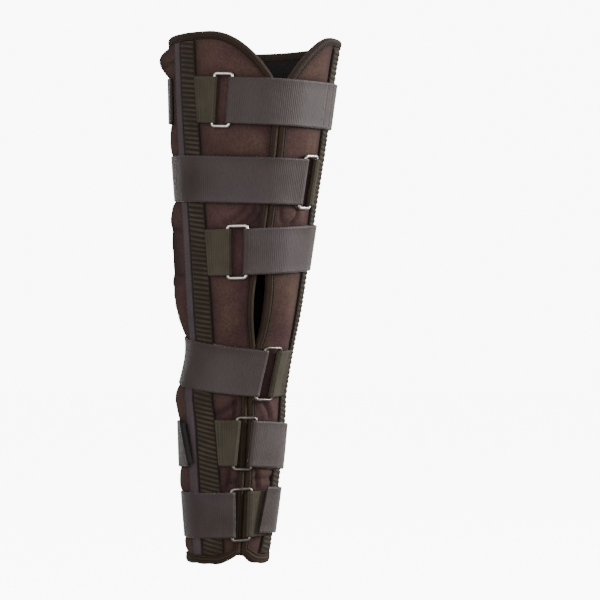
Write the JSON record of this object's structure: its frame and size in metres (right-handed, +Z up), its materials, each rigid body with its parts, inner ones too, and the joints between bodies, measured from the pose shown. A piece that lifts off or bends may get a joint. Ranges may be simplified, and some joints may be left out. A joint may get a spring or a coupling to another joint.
{
  "type": "knee immobilizer",
  "caption": "Padded leg sleeve with a front opening, ribbed stay casings and webbing straps that fold round rectangular wire rings, closed in its worn form.",
  "frame": {"origin": "centre of the knee, on the leg's line inside the sleeve", "axes": "+Z up the leg toward the thigh, the front opening faces -Y, +X is the side that the thigh leans toward"},
  "size_m": [0.1816, 0.1843, 0.545],
  "materials": {
    "velour": "padded velour, plum brown, faint cross-hatch",
    "binding": "folded edge tape, dark grey, slightly satin",
    "casing": "ribbed stay casing, olive black",
    "tape": "flat satin tape, grey",
    "webbing": "woven webbing, warm dark grey, fine ribs along it",
    "tab": "ribbed elastic webbing, olive grey",
    "hook": "hook fastener patch, dark",
    "wire": "plated round wire, satin"
  },
  "bodies": {
    "root": {"panel_back_lower": "velour", "panel_back_middle": "velour", "panel_back_upper": "velour", "panel_front_left_lower": "velour", "panel_front_left_middle": "velour", "panel_front_left_upper": "velour", "panel_front_right_lower": "velour", "panel_front_right_middle": "velour", "panel_front_right_upper": "velour", "casing_left": "casing", "seam_tape_left": "tape", "casing_right": "casing", "seam_tape_right": "tape", "binding_left": "binding", "binding_right": "binding", "strap_6": "webbing", "hook_patch_6": "hook", "tab_6": "tab", "ring_6": "wire", "strap_5": "webbing", "hook_patch_5": "hook", "tab_5": "tab", "ring_5": "wire", "strap_4": "webbing", "hook_patch_4": "hook", "tab_4": "tab", "ring_4": "wire", "strap_3": "webbing", "hook_patch_3": "hook", "tab_3": "tab", "ring_3": "wire", "strap_2": "webbing", "hook_patch_2": "hook", "tab_2": "tab", "ring_2": "wire", "strap_1": "webbing", "hook_patch_1": "hook", "tab_1": "tab", "ring_1": "wire"}
  },
  "joints": []
}
